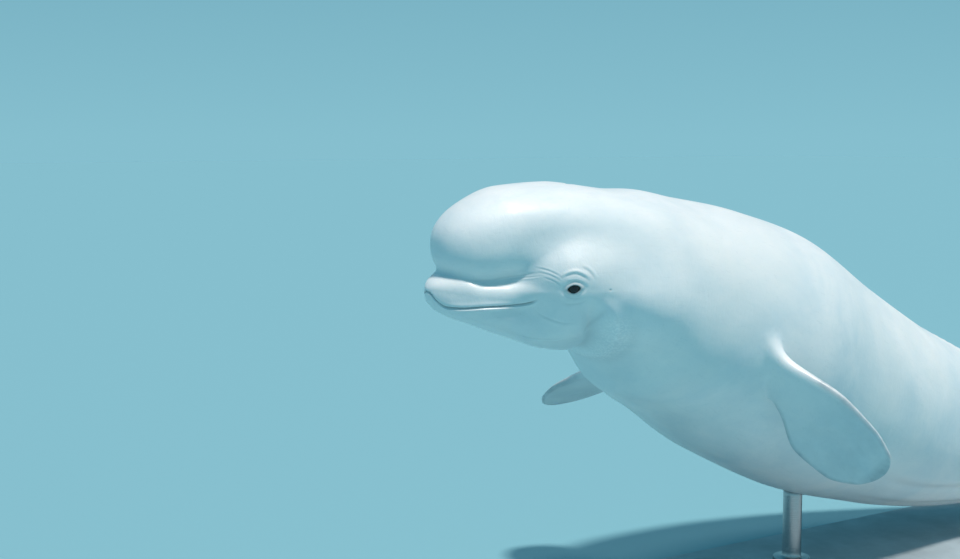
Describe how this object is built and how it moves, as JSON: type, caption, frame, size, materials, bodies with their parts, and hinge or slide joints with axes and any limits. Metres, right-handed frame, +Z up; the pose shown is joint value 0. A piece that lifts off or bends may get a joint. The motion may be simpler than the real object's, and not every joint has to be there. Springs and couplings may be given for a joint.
{
  "type": "life-size still model of a beluga whale on a display stand",
  "caption": "Life-size still model of a swimming beluga whale with rounded melon, broad flippers and flukes, held by rods on a flat base.",
  "frame": {"origin": "centre of the flat underside of the stand's base", "axes": "+Z up, the whale's head towards -X and its tail towards +X, its left side towards -Y"},
  "size_m": [3.9103, 1.2998, 1.3602],
  "materials": {
    "skin": "smooth, white, slightly wet skin",
    "eye": "dark glossy eye",
    "stand_base": "satin pale grey paint",
    "stand_rod": "brushed"
  },
  "bodies": {
    "root": {"head": "skin", "melon": "skin", "lower_jaw": "skin", "eye_left": "eye", "eye_right": "eye", "neck": "skin", "chest": "skin", "torso": "skin", "loin": "skin", "tail_stock": "skin", "flipper_left": "skin", "flipper_right": "skin", "fluke_left": "skin", "fluke_right": "skin", "stand_base": "stand_base", "stand_rod_front": "stand_rod", "stand_rod_rear": "stand_rod"}
  },
  "joints": []
}
